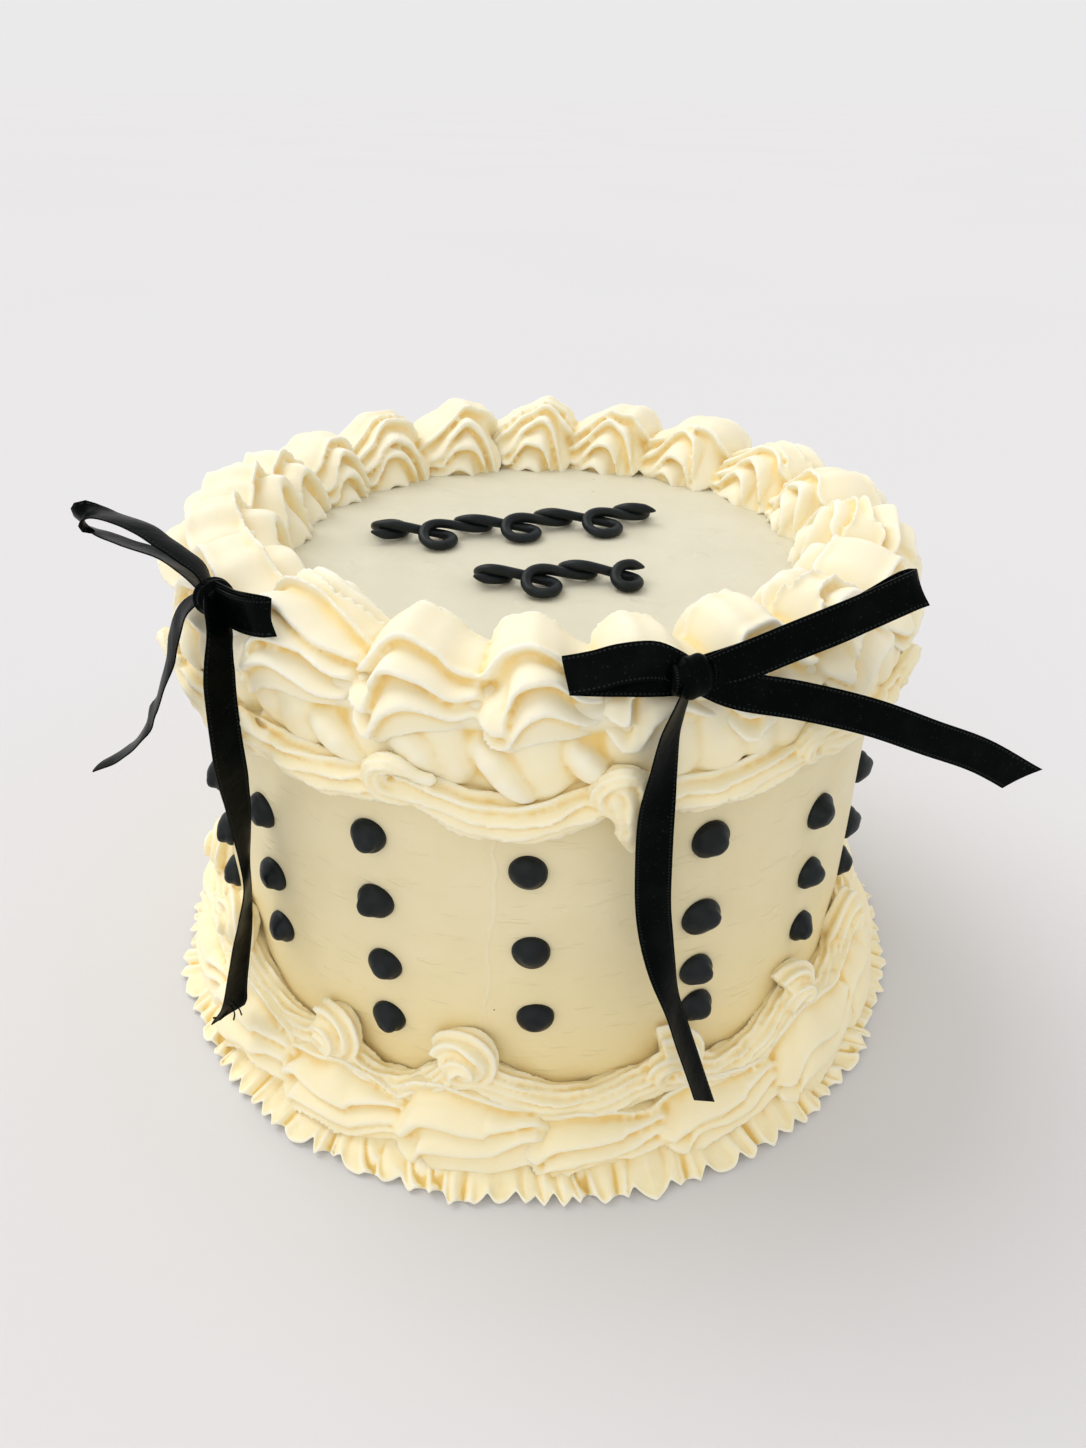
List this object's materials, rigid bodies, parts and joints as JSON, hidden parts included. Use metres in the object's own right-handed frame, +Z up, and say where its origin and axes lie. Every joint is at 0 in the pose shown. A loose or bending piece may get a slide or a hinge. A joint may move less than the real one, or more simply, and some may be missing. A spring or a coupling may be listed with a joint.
{
  "type": "graduation cake",
  "caption": "Round tall layer cake in ivory buttercream with piped shell borders, swagged garlands, dark icing dots and scrolls, and black ribbon bows.",
  "frame": {"origin": "centre of the cake's flat underside", "axes": "+Z up, -Y towards the front, which has the larger ribbon bow, +X to the right as seen from the front"},
  "size_m": [0.2011, 0.2004, 0.1378],
  "materials": {
    "cake_icing": "smooth ivory buttercream, satin",
    "piped_icing": "piped ivory buttercream, satin",
    "dark_icing": "near-black piped icing, satin matte",
    "ribbon": "black satin ribbon with woven edges"
  },
  "bodies": {
    "root": {"cake": "cake_icing", "top_border": "piped_icing", "side_border": "piped_icing", "upper_garland": "piped_icing", "lower_garland": "piped_icing", "foot_petals": "piped_icing", "foot_frill": "piped_icing", "upper_scroll": "dark_icing", "lower_scroll": "dark_icing", "front_bow": "ribbon", "left_bow": "ribbon", "dot_01": "dark_icing", "dot_02": "dark_icing", "dot_03": "dark_icing", "dot_04": "dark_icing", "dot_05": "dark_icing", "dot_06": "dark_icing", "dot_07": "dark_icing", "dot_08": "dark_icing", "dot_09": "dark_icing", "dot_10": "dark_icing", "dot_11": "dark_icing", "dot_12": "dark_icing", "dot_13": "dark_icing", "dot_14": "dark_icing", "dot_15": "dark_icing", "dot_16": "dark_icing", "dot_17": "dark_icing", "dot_18": "dark_icing", "dot_19": "dark_icing", "dot_20": "dark_icing", "dot_21": "dark_icing", "dot_22": "dark_icing", "dot_23": "dark_icing", "dot_24": "dark_icing", "dot_25": "dark_icing", "dot_26": "dark_icing", "dot_27": "dark_icing", "dot_28": "dark_icing", "dot_29": "dark_icing", "dot_30": "dark_icing", "dot_31": "dark_icing", "dot_32": "dark_icing", "dot_33": "dark_icing", "dot_34": "dark_icing", "dot_35": "dark_icing", "dot_36": "dark_icing", "dot_37": "dark_icing", "dot_38": "dark_icing", "dot_39": "dark_icing", "dot_40": "dark_icing", "dot_41": "dark_icing", "dot_42": "dark_icing", "dot_43": "dark_icing", "dot_44": "dark_icing", "dot_45": "dark_icing", "dot_46": "dark_icing"}
  },
  "joints": []
}
